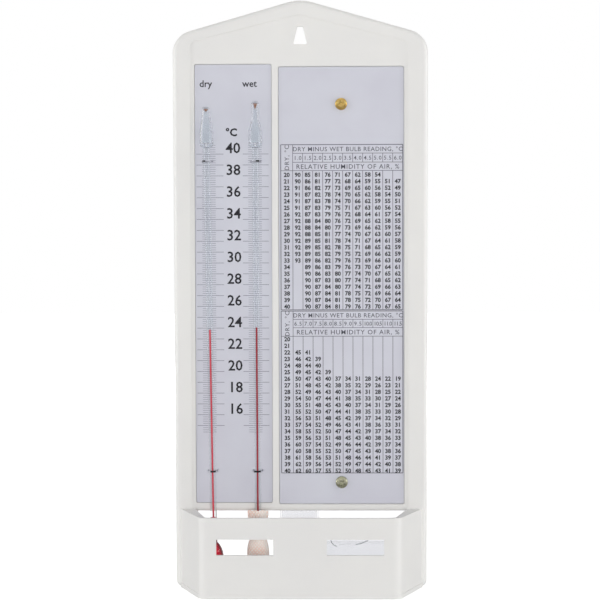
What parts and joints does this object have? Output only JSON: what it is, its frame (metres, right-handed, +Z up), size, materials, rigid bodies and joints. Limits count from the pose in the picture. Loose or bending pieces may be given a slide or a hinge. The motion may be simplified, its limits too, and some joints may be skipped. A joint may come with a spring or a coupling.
{
  "type": "wet and dry bulb hygrometer",
  "caption": "Wall hygrometer: white moulded base with two red-spirit thermometers, a wick, a water flask, a scale plate and a humidity table.",
  "frame": {"origin": "nail seat at the top of the hanging hole, in the plane of the wall", "axes": "+Z up, +X to the right seen from the front, +Y into the wall"},
  "size_m": [0.122, 0.05, 0.281],
  "materials": {
    "white_plastic": "satin moulded",
    "plate_print": "printed matt sheet",
    "brass_screw": "yellow passivated",
    "nickel_screw": "nickel plated",
    "glass": "clear drawn",
    "red_spirit": "dyed liquid",
    "wire": "blackened",
    "cloth": "woven cambric",
    "thread": "cotton thread",
    "feeder_clear": "clear moulded",
    "water": "still water"
  },
  "bodies": {
    "base": {"base_moulding": "white_plastic", "scale_plate": "plate_print", "table_plate": "plate_print", "table_screw_top": "brass_screw", "table_screw_bottom": "nickel_screw", "dry_thermometer_glass": "glass", "dry_spirit": "red_spirit", "wet_thermometer_glass": "glass", "wet_spirit": "red_spirit", "dry_clip_upper": "wire", "dry_clip_lower": "wire", "wet_clip_upper": "wire", "wet_clip_lower": "wire", "wick_sleeve": "cloth", "wick_tie_upper": "thread", "wick_tie_lower": "thread", "wick_tail": "cloth"},
    "feeder": {"feeder_flask": "feeder_clear", "feeder_water": "water"}
  },
  "joints": [
    {"name": "feeder_slide", "type": "slide", "parent": "base", "child": "feeder", "axis": [0, 0, -1], "range_m": [0, 0.06]}
  ]
}
